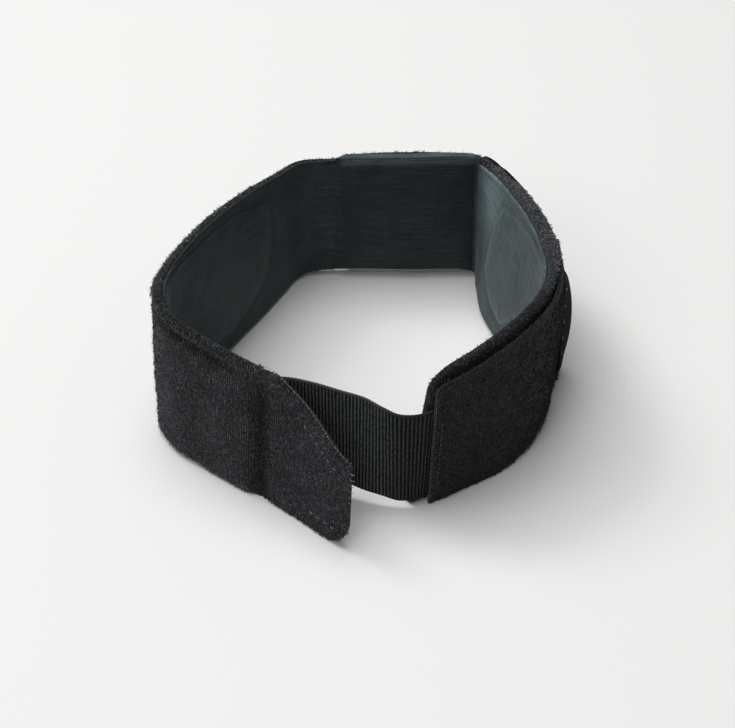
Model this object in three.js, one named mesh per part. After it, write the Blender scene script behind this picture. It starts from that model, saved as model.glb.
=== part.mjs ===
import * as THREE from 'three';

// Main sizes in millimetres
const HALF_WIDTH = 62;
const RING_DEPTH = 82;
const BAND_HEIGHT = 57;
const ELASTIC_HEIGHT = 35.5;

// Thickness of each cloth layer, and the air kept between neighbours
const GAP = 0.3;
const SHELL_THICK = 3;
const LINING_THICK = 0.9;
const PAD_THICK = 2.2;
const ELASTIC_THICK = 1.1;
const PATCH_THICK = 1.6;
const HOOK_THICK = 1;
const STRAP_THICK = 1.1;
const BINDING_THICK = 0.9;
const TAB_THICK = 2.4;

// Distances of the layers from the body's middle line, outward positive
const SHELL_IN = GAP / 2;
const SHELL_OUT = SHELL_IN + SHELL_THICK;
const LINING_OUT = -GAP / 2;
const LINING_IN = LINING_OUT - LINING_THICK;
const PAD_BASE = LINING_IN - GAP;
const ELASTIC_IN = SHELL_OUT + GAP;
const PATCH_IN = ELASTIC_IN + ELASTIC_THICK + GAP;
const BINDING_IN = PATCH_IN + PATCH_THICK + GAP;
const ELASTIC_INSIDE = LINING_IN - GAP - ELASTIC_THICK;

// Rounded borders: how far in from an edge the rounding starts, and how deep it goes
const PILE_RIM = { wide: 1.4, deep: 1.1 };
const CLOTH_RIM = { wide: 0.5, deep: 0.35 };
const PAD_RIM = { wide: 4, deep: 1.9 };
const NO_RIM = { wide: 0, deep: 0 };

// How finely the band is cut along its length
const SAMPLES_PER_ROW = 24;
const MAX_STEP = 5;
const MAX_TURN = THREE.MathUtils.degToRad(10);

// The body seen from above, clockwise from the seam of the tab to the free right end.
// x is a share of HALF_WIDTH and y of RING_DEPTH; lean, tall and lift are shares of BAND_HEIGHT.
const BODY_ROWS = [
  { place: 'tab seam', x: -0.5, y: -0.385, lean: -0.05, tall: 0.85, lift: 0 },
  { place: 'front left', x: -0.633, y: -0.318, lean: -0.04, tall: 0.87, lift: 0 },
  { place: 'left pad front', x: -0.813, y: -0.22, lean: -0.01, tall: 0.905, lift: 0.01 },
  { place: 'left turn front', x: -0.965, y: -0.125, lean: 0, tall: 0.94, lift: 0.025 },
  { place: 'left turn', x: -1.018, y: -0.02, lean: -0.02, tall: 0.97, lift: 0.03 },
  { place: 'left turn back', x: -0.978, y: 0.125, lean: -0.005, tall: 0.98, lift: 0.012 },
  { place: 'left wing', x: -0.878, y: 0.305, lean: 0.02, tall: 0.98, lift: 0 },
  { place: 'left wing middle', x: -0.744, y: 0.512, lean: 0.033, tall: 0.955, lift: 0 },
  { place: 'left pad back', x: -0.607, y: 0.685, lean: 0.015, tall: 0.935, lift: 0 },
  { place: 'left wing back', x: -0.485, y: 0.84, lean: -0.02, tall: 0.905, lift: 0 },
  { place: 'left bend', x: -0.37, y: 0.968, lean: -0.05, tall: 0.875, lift: 0.008 },
  { place: 'left crease', x: -0.185, y: 0.992, lean: -0.045, tall: 0.85, lift: 0.025 },
  { place: 'back panel', x: 0.21, y: 0.992, lean: -0.025, tall: 0.845, lift: 0.03 },
  { place: 'right crease', x: 0.6, y: 0.986, lean: -0.01, tall: 0.842, lift: 0.025 },
  { place: 'right bend', x: 0.65, y: 0.9, lean: 0.06, tall: 0.872, lift: 0 },
  { place: 'right pad back', x: 0.703, y: 0.701, lean: 0.13, tall: 0.93, lift: 0 },
  { place: 'right wing', x: 0.79, y: 0.47, lean: 0.11, tall: 0.975, lift: 0 },
  { place: 'right wing front', x: 0.85, y: 0.262, lean: 0.085, tall: 0.985, lift: 0 },
  { place: 'right turn', x: 0.862, y: 0.085, lean: 0.07, tall: 0.99, lift: 0.01 },
  { place: 'right turn front', x: 0.79, y: -0.07, lean: 0.06, tall: 0.985, lift: 0.012 },
  { place: 'front right', x: 0.625, y: -0.224, lean: 0.035, tall: 0.95, lift: 0 },
  { place: 'front right end', x: 0.425, y: -0.339, lean: 0.065, tall: 0.912, lift: 0 },
  { place: 'right end', x: 0.197, y: -0.446, lean: 0.06, tall: 0.875, lift: 0 },
];

// The closure tab from its free end to the seam, in the same shares
const TAB_ROWS = [
  { place: 'free end', x: -0.07, y: -0.668, lean: -0.053, tall: 0.825, lift: 0 },
  { place: 'middle', x: -0.14, y: -0.622, lean: -0.061, tall: 0.825, lift: 0 },
  { place: 'flare', x: -0.285, y: -0.505, lean: -0.088, tall: 0.825, lift: 0 },
  { place: 'seam side', x: -0.405, y: -0.434, lean: -0.07, tall: 0.835, lift: 0 },
  { place: 'seam', x: -0.494, y: -0.389, lean: -0.05, tall: 0.845, lift: 0 },
];

// The bare elastic between the two ends of the body, from right to left
const FRONT_ELASTIC_ROWS = [
  { place: 'leaves the body', x: 0.16, y: -0.474, lean: 0.03 },
  { place: 'right of middle', x: 0.075, y: -0.451, lean: 0.01 },
  { place: 'middle', x: -0.02, y: -0.417, lean: -0.02 },
  { place: 'left of middle', x: -0.13, y: -0.384, lean: 0 },
  { place: 'behind the tab', x: -0.274, y: -0.348, lean: 0 },
  { place: 'behind the seam', x: -0.4, y: -0.341, lean: -0.02 },
];
const ELASTIC_LOW = 2.4;
const ELASTIC_LOW_AT_TAB = 6.8;

// Outlines of the two shaped pads: along is a share of the pad's length,
// low and high are shares of BAND_HEIGHT above the body's lower edge
const LEFT_PAD_OUTLINE = [
  { along: 0, low: 0.86, high: 0.9 },
  { along: 0.1, low: 0.745, high: 0.935 },
  { along: 0.2, low: 0.615, high: 0.935 },
  { along: 0.31, low: 0.455, high: 0.93 },
  { along: 0.46, low: 0.245, high: 0.91 },
  { along: 0.56, low: 0.155, high: 0.9 },
  { along: 0.66, low: 0.128, high: 0.88 },
  { along: 0.76, low: 0.158, high: 0.865 },
  { along: 0.9, low: 0.235, high: 0.825 },
  { along: 0.96, low: 0.315, high: 0.79 },
  { along: 1, low: 0.46, high: 0.7 },
];
const RIGHT_PAD_OUTLINE = [
  { along: 0, low: 0.31, high: 0.46 },
  { along: 0.05, low: 0.26, high: 0.7 },
  { along: 0.12, low: 0.21, high: 0.8 },
  { along: 0.22, low: 0.165, high: 0.83 },
  { along: 0.35, low: 0.145, high: 0.865 },
  { along: 0.48, low: 0.255, high: 0.89 },
  { along: 0.58, low: 0.36, high: 0.91 },
  { along: 0.68, low: 0.48, high: 0.925 },
  { along: 0.84, low: 0.68, high: 0.935 },
  { along: 1, low: 0.87, high: 0.91 },
];

// How far the outer strap stands off the shell, as shares of BAND_HEIGHT: top is its upper
// edge, low is its lower edge; along is a share of the strap's length
const STRAP_STAND = [
  { along: 0, top: 0, low: 0 },
  { along: 0.1, top: 0.004, low: 0 },
  { along: 0.2, top: 0.023, low: 0.004 },
  { along: 0.32, top: 0.021, low: 0.004 },
  { along: 0.4, top: 0.004, low: 0 },
  { along: 0.52, top: 0.005, low: 0.002 },
  { along: 0.62, top: 0.035, low: 0.018 },
  { along: 0.74, top: 0.035, low: 0.021 },
  { along: 0.86, top: 0.011, low: 0.007 },
  { along: 0.92, top: 0, low: 0 },
  { along: 1, top: 0, low: 0 },
];

// How far the back end of the patch flares off the body, in the same manner
const PATCH_STAND = [
  { along: 0, top: 0.028, low: 0.144 },
  { along: 0.05, top: 0.019, low: 0.123 },
  { along: 0.12, top: 0.007, low: 0.07 },
  { along: 0.2, top: 0, low: 0.021 },
  { along: 0.3, top: 0, low: 0 },
  { along: 1, top: 0, low: 0 },
];

function scaled(row) {
  return {
    place: row.place,
    x: row.x * HALF_WIDTH,
    y: row.y * RING_DEPTH,
    lean: row.lean * BAND_HEIGHT,
    tall: row.tall * BAND_HEIGHT,
    lift: row.lift * BAND_HEIGHT,
  };
}

// A smooth line through the rows, with the height, lean and lift of the cloth at every spot
function makePath(rows) {
  const plan = rows.map((row) => new THREE.Vector3(row.x, row.y, 0));
  const form = rows.map((row) => new THREE.Vector3(row.lean, row.tall, row.lift));
  const planCurve = new THREE.CatmullRomCurve3(plan, false, 'centripetal');
  const formCurve = new THREE.CatmullRomCurve3(form, false, 'centripetal');
  const count = (rows.length - 1) * SAMPLES_PER_ROW;
  const spots = [];
  let distance = 0;
  for (let i = 0; i <= count; i += 1) {
    const point = planCurve.getPoint(i / count);
    const heading = planCurve.getTangent(i / count);
    const shape = formCurve.getPoint(i / count);
    if (i > 0) distance += Math.hypot(point.x - spots[i - 1].x, point.y - spots[i - 1].y);
    spots.push({
      s: distance,
      x: point.x,
      y: point.y,
      nx: -heading.y,
      ny: heading.x,
      lean: shape.x,
      rise: Math.sqrt(shape.y ** 2 - shape.x ** 2),
      lift: Math.max(0, shape.z),
    });
  }
  const marks = rows.map((row, i) => [row.place, spots[i * SAMPLES_PER_ROW].s]);
  return { spots, length: distance, mark: Object.fromEntries(marks) };
}

function spotAt(path, s) {
  const { spots } = path;
  let i = spots.findIndex((spot) => spot.s >= s);
  if (i < 0) i = spots.length - 1;
  if (i === 0) i = 1;
  const a = spots[i - 1];
  const b = spots[i];
  const t = THREE.MathUtils.clamp((s - a.s) / (b.s - a.s), 0, 1);
  const spot = {};
  for (const key of Object.keys(a)) spot[key] = a[key] + (b[key] - a[key]) * t;
  return spot;
}

// A point of the cloth: z measured up from its lower edge, out measured from the middle line
function pointOn(spot, z, out) {
  const shift = out + spot.lean * (z / spot.rise - 0.5);
  return [spot.x + spot.nx * shift, spot.y + spot.ny * shift, spot.lift + z];
}

function turnBetween(a, b) {
  return Math.abs(Math.atan2(a.nx * b.ny - a.ny * b.nx, a.nx * b.nx + a.ny * b.ny));
}

// Places where the cloth is cut across: shared by all layers, closer together in tight bends
function sharedStops(path) {
  const stops = [];
  let last = path.spots[0];
  for (const spot of path.spots) {
    if (spot.s - last.s > MAX_STEP || turnBetween(last, spot) > MAX_TURN) {
      stops.push(spot.s);
      last = spot;
    }
  }
  return stops;
}

function edgeMarks(length, rim, inner) {
  const wide = Math.min(rim.wide, length * 0.4);
  const near = wide > 0 ? [0, wide * 0.3, wide] : [0];
  const far = near.map((mark) => length - mark).reverse();
  return [...near, ...inner, ...far];
}

function evenMarks(length, rim, count) {
  const wide = Math.min(rim.wide, length * 0.4);
  const marks = [];
  for (let i = 1; i < count; i += 1) marks.push(wide + ((length - 2 * wide) * i) / count);
  return marks;
}

function roundDrop(inside, rim) {
  if (rim.wide === 0 || inside >= rim.wide) return 0;
  return rim.deep * (1 - Math.sqrt(1 - (1 - inside / rim.wide) ** 2));
}

// Reads a column of a short table at a share between its rows
function readRow(rows, along, column) {
  let i = rows.findIndex((row) => row.along >= along);
  if (i < 0) i = rows.length - 1;
  if (i === 0) return rows[0][column];
  const a = rows[i - 1];
  const b = rows[i];
  const even = (along - a.along) / (b.along - a.along);
  const t = (even + THREE.MathUtils.smoothstep(along, a.along, b.along)) / 2;
  return a[column] + (b[column] - a[column]) * t;
}

// A cloth layer between two cuts along the path and between a lower and an upper edge.
// base and crown are its two faces; the crown's border is rounded by rim.
function layer(path, spec) {
  const { from, to, base, crown, rim, columns } = spec;
  const stand = spec.stand ?? (() => 0);
  const inner = sharedStops(path).filter((s) => s > from + rim.wide + 0.6 && s < to - rim.wide - 0.6);
  const stops = edgeMarks(to - from, rim, inner.map((s) => s - from));
  const side = Math.sign(crown - base);
  const grid = stops.map((fromStart) => {
    const spot = spotAt(path, from + fromStart);
    const along = fromStart / (to - from);
    const [low, high] = spec.span(spot, along);
    const wide = high - low;
    const endInside = Math.min(fromStart, to - from - fromStart);
    return edgeMarks(wide, rim, evenMarks(wide, rim, columns)).map((mark) => {
      const inside = Math.min(mark, wide - mark, endInside);
      const z = low + mark;
      const off = stand(along, z / spot.rise);
      return {
        base: pointOn(spot, z, base + off),
        crown: pointOn(spot, z, crown + off - side * roundDrop(inside, rim)),
      };
    });
  });
  return closedSolid(grid);
}

function closedSolid(grid) {
  const rows = grid.length;
  const cols = grid[0].length;
  const positions = [];
  for (const face of ['base', 'crown']) {
    for (const row of grid) for (const cell of row) positions.push(...cell[face]);
  }
  const baseAt = (i, j) => i * cols + j;
  const crownAt = (i, j) => rows * cols + i * cols + j;
  const index = [];
  const quad = (a, b, c, d) => index.push(a, b, c, a, c, d);
  for (let i = 0; i + 1 < rows; i += 1) {
    for (let j = 0; j + 1 < cols; j += 1) {
      quad(crownAt(i, j), crownAt(i + 1, j), crownAt(i + 1, j + 1), crownAt(i, j + 1));
      quad(baseAt(i, j), baseAt(i, j + 1), baseAt(i + 1, j + 1), baseAt(i + 1, j));
    }
    quad(baseAt(i, 0), baseAt(i + 1, 0), crownAt(i + 1, 0), crownAt(i, 0));
    quad(crownAt(i, cols - 1), crownAt(i + 1, cols - 1), baseAt(i + 1, cols - 1), baseAt(i, cols - 1));
  }
  for (let j = 0; j + 1 < cols; j += 1) {
    quad(baseAt(0, j + 1), baseAt(0, j), crownAt(0, j), crownAt(0, j + 1));
    quad(crownAt(rows - 1, j + 1), crownAt(rows - 1, j), baseAt(rows - 1, j), baseAt(rows - 1, j + 1));
  }
  if (signedVolume(positions, index) < 0) index.reverse();
  const geometry = new THREE.BufferGeometry();
  geometry.setAttribute('position', new THREE.Float32BufferAttribute(positions, 3));
  geometry.setIndex(index);
  geometry.computeVertexNormals();
  return geometry;
}

function signedVolume(positions, index) {
  const corner = (i) => new THREE.Vector3().fromArray(positions, index[i] * 3);
  let volume = 0;
  for (let i = 0; i < index.length; i += 3) volume += corner(i).dot(corner(i + 1).cross(corner(i + 2))) / 6;
  return volume;
}

// Rounds the corner of a free end: how much height is lost at a distance from that end
function cornerLoss(fromEnd, radius) {
  if (fromEnd >= radius) return 0;
  if (fromEnd <= 0) return radius;
  return radius - Math.sqrt(radius ** 2 - (radius - fromEnd) ** 2);
}

const body = makePath(BODY_ROWS.map(scaled));
const { mark } = body;

// The free right end is cut slanting, so that its lower corner reaches furthest
const END_CUT = { length: 5.5, lowest: 8, corner: 12 };
const LINING_INSET = 1.3;

function bodySpan(inset) {
  return (spot) => {
    const fromEnd = body.length - inset - spot.s;
    const top = spot.rise - cornerLoss(fromEnd - END_CUT.length / 2, END_CUT.corner);
    const cut = THREE.MathUtils.clamp(fromEnd / END_CUT.length, 0, 1);
    return [inset, THREE.MathUtils.lerp(END_CUT.lowest, top, cut) - inset];
  };
}

function makeShell() {
  return layer(body, {
    from: 0,
    to: body.length,
    base: SHELL_IN,
    crown: SHELL_OUT,
    rim: PILE_RIM,
    columns: 4,
    span: bodySpan(0),
  });
}

function makeLining() {
  return layer(body, {
    from: LINING_INSET,
    to: body.length - LINING_INSET,
    base: LINING_OUT,
    crown: LINING_IN,
    rim: CLOTH_RIM,
    columns: 3,
    span: bodySpan(LINING_INSET),
  });
}

function makeShapedPad(from, to, outline) {
  return layer(body, {
    from,
    to,
    base: PAD_BASE,
    crown: PAD_BASE - PAD_THICK,
    rim: PAD_RIM,
    columns: 4,
    span: (spot, along) => [
      readRow(outline, along, 'low') * BAND_HEIGHT,
      readRow(outline, along, 'high') * BAND_HEIGHT,
    ],
  });
}

const PANEL_PAD = { fromCrease: 3, edge: 2.6 };

function makeBackPad() {
  return layer(body, {
    from: mark['left crease'] + PANEL_PAD.fromCrease,
    to: mark['right crease'] - PANEL_PAD.fromCrease,
    base: PAD_BASE,
    crown: PAD_BASE - PAD_THICK,
    rim: PAD_RIM,
    columns: 3,
    span: (spot) => [PANEL_PAD.edge, spot.rise - PANEL_PAD.edge],
  });
}

// The patch covers the outside of the front right part, a little lower than the body's rim
const PATCH = { fromEnd: 5, pastWing: 6, belowRim: 2.6, corner: 3, backCorner: 1.5 };
const patchStart = mark['right wing front'] - PATCH.pastWing;
const patchEnd = body.length - PATCH.fromEnd;
const patchLength = patchEnd - patchStart;

// Leans a layer away from the body: the stand-off runs evenly from its low to its top value
function standFrom(rows) {
  return (along, share) => {
    const low = readRow(rows, along, 'low') * BAND_HEIGHT;
    const top = readRow(rows, along, 'top') * BAND_HEIGHT;
    return THREE.MathUtils.lerp(low, top, share);
  };
}

function makeEndPatch() {
  return layer(body, {
    from: patchStart,
    to: patchEnd,
    base: PATCH_IN,
    crown: PATCH_IN + PATCH_THICK,
    rim: PILE_RIM,
    columns: 4,
    stand: standFrom(PATCH_STAND),
    span: (spot, along) => {
      const front = cornerLoss((1 - along) * patchLength, PATCH.corner);
      const back = cornerLoss(along * patchLength, PATCH.backCorner);
      return [back, spot.rise - PATCH.belowRim - front - back];
    },
  });
}

// A plain strip bound over the patch's back end
const BINDING = { fromEnd: 0.6, length: 7, low: 5, high: 43 };

function makePatchBinding() {
  const stand = standFrom(PATCH_STAND);
  return layer(body, {
    from: patchStart + BINDING.fromEnd,
    to: patchStart + BINDING.fromEnd + BINDING.length,
    base: BINDING_IN,
    crown: BINDING_IN + BINDING_THICK,
    rim: CLOTH_RIM,
    columns: 3,
    stand: (along, share) => stand((BINDING.fromEnd + along * BINDING.length) / patchLength, share),
    span: () => [BINDING.low, BINDING.high],
  });
}

// A row of the elastic where it lies against the body
function elasticRow(s, out, low) {
  const spot = spotAt(body, s);
  const middle = (low + ELASTIC_HEIGHT / 2) / spot.rise - 0.5;
  return {
    place: `on body ${s}`,
    x: spot.x + spot.nx * (out + spot.lean * middle),
    y: spot.y + spot.ny * (out + spot.lean * middle),
    lean: (spot.lean * ELASTIC_HEIGHT) / spot.rise,
    tall: ELASTIC_HEIGHT,
    lift: low,
  };
}

const ELASTIC_STEP = 5;
const ELASTIC_HOLD_LEFT = 9;

function makeElastic() {
  const rows = [];
  for (let s = mark['right turn']; s < body.length; s += ELASTIC_STEP) {
    rows.push(elasticRow(s, ELASTIC_IN, ELASTIC_LOW));
  }
  const front = FRONT_ELASTIC_ROWS.map((row, i) => ({
    ...row,
    x: row.x * HALF_WIDTH,
    y: row.y * RING_DEPTH,
    lean: row.lean * BAND_HEIGHT,
    tall: ELASTIC_HEIGHT,
    lift: THREE.MathUtils.lerp(ELASTIC_LOW, ELASTIC_LOW_AT_TAB, i / (FRONT_ELASTIC_ROWS.length - 1)),
  }));
  rows.push(...front);
  for (let s = 1; s <= ELASTIC_HOLD_LEFT; s += ELASTIC_STEP - 1) {
    rows.push(elasticRow(s, ELASTIC_INSIDE, ELASTIC_LOW_AT_TAB));
  }
  const path = makePath(rows);
  return layer(path, {
    from: 0,
    to: path.length,
    base: 0,
    crown: ELASTIC_THICK,
    rim: CLOTH_RIM,
    columns: 2,
    span: (spot) => [0, spot.rise],
  });
}

// The outer strap goes round the outside from the back panel and ends under the patch
const STRAP = { fromCrease: 3, underPatch: 10, low: 0.8, belowRim: 0.8 };
const strapStart = mark['left crease'] + STRAP.fromCrease;
const strapEnd = patchStart + STRAP.underPatch;

function makeOuterStrap() {
  return layer(body, {
    from: strapStart,
    to: strapEnd,
    base: ELASTIC_IN,
    crown: ELASTIC_IN + STRAP_THICK,
    rim: CLOTH_RIM,
    columns: 4,
    stand: standFrom(STRAP_STAND),
    span: (spot) => [STRAP.low, spot.rise - STRAP.belowRim],
  });
}

// The tab's upper edge runs level from the seam, then is cut slanting down to the free end
const TAB = { endHigh: 0.54, level: 5, corner: 8, seamGap: 0.3 };
const tabPath = makePath(TAB_ROWS.map(scaled));

function tabSpan(inset) {
  return (spot) => {
    const slope = THREE.MathUtils.clamp(spot.s / (tabPath.length - TAB.level), 0, 1);
    const high = THREE.MathUtils.lerp(TAB.endHigh * BAND_HEIGHT, spot.rise, slope);
    return [inset + cornerLoss(spot.s, TAB.corner), Math.min(high, spot.rise) - inset];
  };
}

function makeTab() {
  return layer(tabPath, {
    from: 0,
    to: tabPath.length - TAB.seamGap,
    base: SHELL_IN,
    crown: SHELL_IN + TAB_THICK,
    rim: PILE_RIM,
    columns: 4,
    span: tabSpan(0),
  });
}

const TAB_HOOK = { inset: 2.5, fromSeam: 13 };

function makeTabHook() {
  return layer(tabPath, {
    from: TAB_HOOK.inset,
    to: tabPath.length - TAB_HOOK.fromSeam,
    base: -GAP / 2,
    crown: -GAP / 2 - HOOK_THICK,
    rim: CLOTH_RIM,
    columns: 3,
    span: tabSpan(TAB_HOOK.inset),
  });
}

// How far past its two rows each shaped pad begins and ends
const LEFT_PAD_PAST = { front: 3, back: 8 };
const RIGHT_PAD_PAST = { back: 10, front: 2 };
const LEFT_PAD = {
  from: mark['left turn front'] + LEFT_PAD_PAST.front,
  to: mark['left pad back'] + LEFT_PAD_PAST.back,
};
const RIGHT_PAD = {
  from: mark['right bend'] + RIGHT_PAD_PAST.back,
  to: mark['right turn'] + RIGHT_PAD_PAST.front,
};

const pile = { color: 0x2c2b30, roughness: 0.95, metalness: 0 };
const tricot = { color: 0x34403c, roughness: 0.8, metalness: 0 };
const webbing = { color: 0x1f2120, roughness: 0.7, metalness: 0 };
const hook = { color: 0x161617, roughness: 0.6, metalness: 0 };

const pieces = [
  ['shell', makeShell(), pile],
  ['lining', makeLining(), tricot],
  ['pad_left', makeShapedPad(LEFT_PAD.from, LEFT_PAD.to, LEFT_PAD_OUTLINE), tricot],
  ['pad_back', makeBackPad(), tricot],
  ['pad_right', makeShapedPad(RIGHT_PAD.from, RIGHT_PAD.to, RIGHT_PAD_OUTLINE), tricot],
  ['front_elastic', makeElastic(), webbing],
  ['end_patch', makeEndPatch(), pile],
  ['outer_strap', makeOuterStrap(), webbing],
  ['patch_binding', makePatchBinding(), webbing],
  ['closure_tab', makeTab(), pile],
  ['tab_hook', makeTabHook(), hook],
];

const group = new THREE.Group();
group.name = 'wrist_support_band';
for (const [name, geometry, look] of pieces) {
  const mesh = new THREE.Mesh(geometry, new THREE.MeshStandardMaterial(look));
  mesh.name = name;
  group.add(mesh);
}

// The object stands on z = 0 with the middle of its outline over the origin
const bounds = new THREE.Box3().setFromObject(group);
const centre = bounds.getCenter(new THREE.Vector3());
for (const mesh of group.children) mesh.geometry.translate(-centre.x, -centre.y, -bounds.min.z);

export default group;
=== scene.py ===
import math

import bpy
import numpy as np
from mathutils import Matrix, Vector


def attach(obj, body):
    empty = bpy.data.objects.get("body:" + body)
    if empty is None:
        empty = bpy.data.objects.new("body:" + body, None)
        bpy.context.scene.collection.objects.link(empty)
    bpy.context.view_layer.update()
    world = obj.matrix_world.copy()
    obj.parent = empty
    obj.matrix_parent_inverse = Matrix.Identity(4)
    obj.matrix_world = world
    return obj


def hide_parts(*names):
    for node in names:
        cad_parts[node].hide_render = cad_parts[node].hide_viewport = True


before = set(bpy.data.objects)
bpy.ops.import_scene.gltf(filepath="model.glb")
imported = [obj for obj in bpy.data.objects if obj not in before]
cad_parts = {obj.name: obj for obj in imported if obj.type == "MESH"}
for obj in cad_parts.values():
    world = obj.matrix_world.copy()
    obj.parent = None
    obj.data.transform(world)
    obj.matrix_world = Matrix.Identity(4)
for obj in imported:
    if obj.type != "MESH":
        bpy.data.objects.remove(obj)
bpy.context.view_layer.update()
scene = bpy.context.scene

# Driving sizes of the part, in millimetres
MM = 0.001
HALF_WIDTH = 62
RING_DEPTH = 82
BAND_HEIGHT = 57
ELASTIC_HEIGHT = 35.5
FRAME_SHIFT = (1.178, -15.31, 0)

# Distances of the layers from the body's middle line, outward positive
SHELL_IN, SHELL_OUT = 0.15, 3.15
LINING_OUT, LINING_IN = -0.15, -1.05
PAD_BASE, PAD_FACE = -1.15, -3.45
ELASTIC_IN, ELASTIC_OUT = 3.45, 4.55
ELASTIC_INSIDE = -2.45
ELASTIC_THICK = 1.1
PATCH_IN, PATCH_OUT = 4.85, 6.45
BINDING_IN, BINDING_OUT = 6.75, 7.65
TAB_OUT = 2.55
HOOK_IN = -0.15

SAMPLES = 24
FLOOR_CLEAR = 0.05

# Columns: x and y as shares of HALF_WIDTH and RING_DEPTH; lean, tall, lift of BAND_HEIGHT
BODY_ROWS = {
    "tab seam": (-0.5, -0.385, -0.05, 0.85, 0),
    "front left": (-0.633, -0.318, -0.04, 0.87, 0),
    "left pad front": (-0.813, -0.22, -0.01, 0.905, 0.01),
    "left turn front": (-0.965, -0.125, 0, 0.94, 0.025),
    "left turn": (-1.018, -0.02, -0.02, 0.97, 0.03),
    "left turn back": (-0.978, 0.125, -0.005, 0.98, 0.012),
    "left wing": (-0.878, 0.305, 0.02, 0.98, 0),
    "left wing middle": (-0.744, 0.512, 0.033, 0.955, 0),
    "left pad back": (-0.607, 0.685, 0.015, 0.935, 0),
    "left wing back": (-0.485, 0.84, -0.02, 0.905, 0),
    "left bend": (-0.37, 0.968, -0.05, 0.875, 0.008),
    "left crease": (-0.185, 0.992, -0.045, 0.85, 0.025),
    "back panel": (0.21, 0.992, -0.025, 0.845, 0.03),
    "right crease": (0.6, 0.986, -0.01, 0.842, 0.025),
    "right bend": (0.65, 0.9, 0.06, 0.872, 0),
    "right pad back": (0.703, 0.701, 0.13, 0.93, 0),
    "right wing": (0.79, 0.47, 0.11, 0.975, 0),
    "right wing front": (0.85, 0.262, 0.085, 0.985, 0),
    "right turn": (0.862, 0.085, 0.07, 0.99, 0.01),
    "right turn front": (0.79, -0.07, 0.06, 0.985, 0.012),
    "front right": (0.625, -0.224, 0.035, 0.95, 0),
    "front right end": (0.425, -0.339, 0.065, 0.912, 0),
    "right end": (0.197, -0.446, 0.06, 0.875, 0),
}
TAB_ROWS = {
    "free end": (-0.07, -0.668, -0.053, 0.825, 0),
    "middle": (-0.14, -0.622, -0.061, 0.825, 0),
    "flare": (-0.285, -0.505, -0.088, 0.825, 0),
    "seam side": (-0.405, -0.434, -0.07, 0.835, 0),
    "seam": (-0.494, -0.389, -0.05, 0.845, 0),
}

# The bare elastic between the two ends of the body, from right to left: x, y, lean
FRONT_ELASTIC_ROWS = (
    (0.16, -0.474, 0.03),
    (0.075, -0.451, 0.01),
    (-0.02, -0.417, -0.02),
    (-0.13, -0.384, 0),
    (-0.274, -0.348, 0),
    (-0.4, -0.341, -0.02),
)
ELASTIC_LOW = 2.4
ELASTIC_LOW_AT_TAB = 6.8
ELASTIC_STEP = 5
ELASTIC_HOLD_LEFT = 9

# Outlines of the shaped pads. Columns: share of the pad's length, low and high edge as
# shares of BAND_HEIGHT
LEFT_PAD_OUTLINE = (
    (0, 0.86, 0.9),
    (0.1, 0.745, 0.935),
    (0.2, 0.615, 0.935),
    (0.31, 0.455, 0.93),
    (0.46, 0.245, 0.91),
    (0.56, 0.155, 0.9),
    (0.66, 0.128, 0.88),
    (0.76, 0.158, 0.865),
    (0.9, 0.235, 0.825),
    (0.96, 0.315, 0.79),
    (1, 0.46, 0.7),
)
RIGHT_PAD_OUTLINE = (
    (0, 0.31, 0.46),
    (0.05, 0.26, 0.7),
    (0.12, 0.21, 0.8),
    (0.22, 0.165, 0.83),
    (0.35, 0.145, 0.865),
    (0.48, 0.255, 0.89),
    (0.58, 0.36, 0.91),
    (0.68, 0.48, 0.925),
    (0.84, 0.68, 0.935),
    (1, 0.87, 0.91),
)

# Stand-off of the outer strap and of the patch's back end. Columns: share of the length,
# at the upper and at the lower edge, as shares of BAND_HEIGHT
STRAP_STAND = (
    (0, 0, 0),
    (0.1, 0.004, 0),
    (0.2, 0.023, 0.004),
    (0.32, 0.021, 0.004),
    (0.4, 0.004, 0),
    (0.52, 0.005, 0.002),
    (0.62, 0.035, 0.018),
    (0.74, 0.035, 0.021),
    (0.86, 0.011, 0.007),
    (0.92, 0, 0),
    (1, 0, 0),
)
PATCH_STAND = (
    (0, 0.016, 0.144),
    (0.05, 0.01, 0.123),
    (0.12, 0.004, 0.07),
    (0.2, 0, 0.021),
    (0.3, 0, 0),
    (1, 0, 0),
)

END_CUT = {"length": 5.5, "lowest": 8, "corner": 12}
PATCH = {"from_end": 5, "past_wing": 6, "below_rim": 2.6, "corner": 3, "back_corner": 1.5}
BINDING = {"from_end": 0.6, "length": 7, "low": 5, "high": 43}
STRAP = {"from_crease": 3, "under_patch": 10, "low": 0.8, "below_rim": 0.8}
TAB = {"end_high": 0.54, "level": 5, "corner": 8}
TAB_HOOK = {"inset": 2.5, "from_seam": 13}


# The cloth's middle line and the surface that hangs on it

def unit(vectors):
    return vectors / np.linalg.norm(vectors, axis=-1, keepdims=True)


def lengths(line):
    """How far along the line each of its points lies."""
    return np.concatenate([[0], np.cumsum(np.linalg.norm(np.diff(line, axis=0), axis=1))])


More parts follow.
